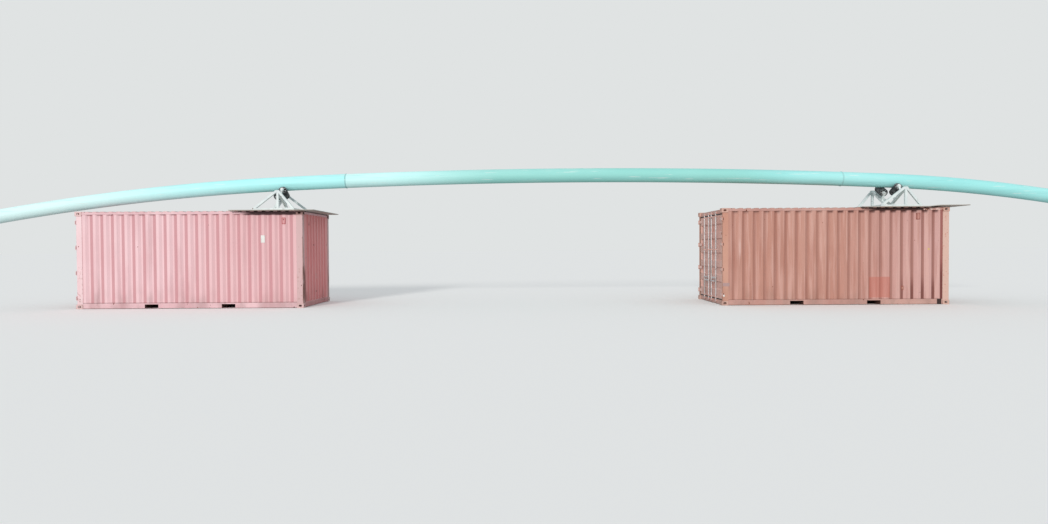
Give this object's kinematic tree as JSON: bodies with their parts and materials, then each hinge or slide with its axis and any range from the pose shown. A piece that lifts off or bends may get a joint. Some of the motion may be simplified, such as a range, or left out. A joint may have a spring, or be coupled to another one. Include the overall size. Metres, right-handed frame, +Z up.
{
  "type": "pipe bridge on containers",
  "caption": "Large plastic pipe carried over a roadway on shipping containers, each with boards and a V-roller stand on its roof.",
  "frame": {"origin": "at ground level, in the middle of the object's length along the pipe and of its depth", "axes": "+X along the pipe, +Y from the near side to the far side, +Z up"},
  "size_m": [29.5635, 2.594, 3.7653],
  "materials": {
    "pipe_a": "satin",
    "pipe_b": "satin",
    "boards": "weathered",
    "rollers": "matte",
    "stand_steel": "satin",
    "floor_boards": "worn",
    "galvanised": "dull",
    "left_underframe": "matte",
    "left_frame": "faded",
    "left_roof": "faded",
    "left_doors": "faded",
    "left_walls": "faded",
    "right_underframe": "matte",
    "right_frame": "faded",
    "right_roof": "faded",
    "right_doors": "faded",
    "right_walls": "faded"
  },
  "bodies": {
    "bridge": {"pipe_left_length": "pipe_a", "pipe_middle_length": "pipe_b", "pipe_right_length": "pipe_a", "left_boards": "boards", "right_boards": "boards", "left_stand_base": "stand_steel", "left_stand_front_frame": "stand_steel", "left_stand_rear_frame": "stand_steel", "left_stand_roller_beams": "stand_steel", "right_stand_base": "stand_steel", "right_stand_front_frame": "stand_steel", "right_stand_rear_frame": "stand_steel", "right_stand_roller_beams": "stand_steel", "left_castings": "left_frame", "left_posts": "left_frame", "left_rails": "left_frame", "left_keepers": "left_frame", "left_near_wall": "left_walls", "left_far_wall": "left_walls", "left_end_wall": "left_walls", "left_roof": "left_roof", "left_floor": "floor_boards", "left_cross_members": "left_underframe", "left_doors": "left_doors", "left_lock_rods": "galvanised", "right_castings": "right_frame", "right_posts": "right_frame", "right_rails": "right_frame", "right_keepers": "right_frame", "right_near_wall": "right_walls", "right_far_wall": "right_walls", "right_end_wall": "right_walls", "right_roof": "right_roof", "right_floor": "floor_boards", "right_cross_members": "right_underframe"},
    "left_front_roller": {"left_stand_front_roller": "rollers"},
    "left_rear_roller": {"left_stand_rear_roller": "rollers"},
    "right_front_roller": {"right_stand_front_roller": "rollers"},
    "right_rear_roller": {"right_stand_rear_roller": "rollers"},
    "near_door": {"right_near_door": "right_doors"},
    "far_door": {"right_far_door": "right_doors"},
    "near_outer_rod": {"right_near_outer_rod": "galvanised"},
    "near_inner_rod": {"right_near_inner_rod": "galvanised"},
    "far_outer_rod": {"right_far_outer_rod": "galvanised"},
    "far_inner_rod": {"right_far_inner_rod": "galvanised"}
  },
  "joints": [
    {"name": "left_front_roller_spin", "type": "hinge", "parent": "bridge", "child": "left_front_roller", "pos_m": [-6.60217, -0.45129, 3.10834], "axis": [0, -0.866, 0.5], "continuous": true},
    {"name": "left_rear_roller_spin", "type": "hinge", "parent": "bridge", "child": "left_rear_roller", "pos_m": [-6.84217, -0.14339, 3.10834], "axis": [0, 0.866, 0.5], "continuous": true},
    {"name": "right_front_roller_spin", "type": "hinge", "parent": "bridge", "child": "right_front_roller", "pos_m": [10.24783, -0.47061, 3.10834], "axis": [0, -0.866, 0.5], "continuous": true},
    {"name": "right_rear_roller_spin", "type": "hinge", "parent": "bridge", "child": "right_rear_roller", "pos_m": [10.00783, -0.16271, 3.10834], "axis": [0, 0.866, 0.5], "continuous": true},
    {"name": "near_door_swing", "type": "hinge", "parent": "bridge", "child": "near_door", "pos_m": [5.27183, -1.141, 1.2955], "axis": [0, 0, 1], "range_deg": [0, 265]},
    {"name": "far_door_swing", "type": "hinge", "parent": "bridge", "child": "far_door", "pos_m": [5.27183, 1.285, 1.2955], "axis": [0, 0, -1], "range_deg": [0, 265]},
    {"name": "near_outer_rod_turn", "type": "hinge", "parent": "near_door", "child": "near_outer_rod", "pos_m": [5.28083, -0.507, 1.2955], "axis": [0, 0, -1], "range_deg": [-90, 0]},
    {"name": "near_inner_rod_turn", "type": "hinge", "parent": "near_door", "child": "near_inner_rod", "pos_m": [5.28083, -0.067, 1.2955], "axis": [0, 0, 1], "range_deg": [-90, 0]},
    {"name": "far_outer_rod_turn", "type": "hinge", "parent": "far_door", "child": "far_outer_rod", "pos_m": [5.28083, 0.651, 1.2955], "axis": [0, 0, 1], "range_deg": [-90, 0]},
    {"name": "far_inner_rod_turn", "type": "hinge", "parent": "far_door", "child": "far_inner_rod", "pos_m": [5.28083, 0.211, 1.2955], "axis": [0, 0, -1], "range_deg": [-90, 0]}
  ]
}
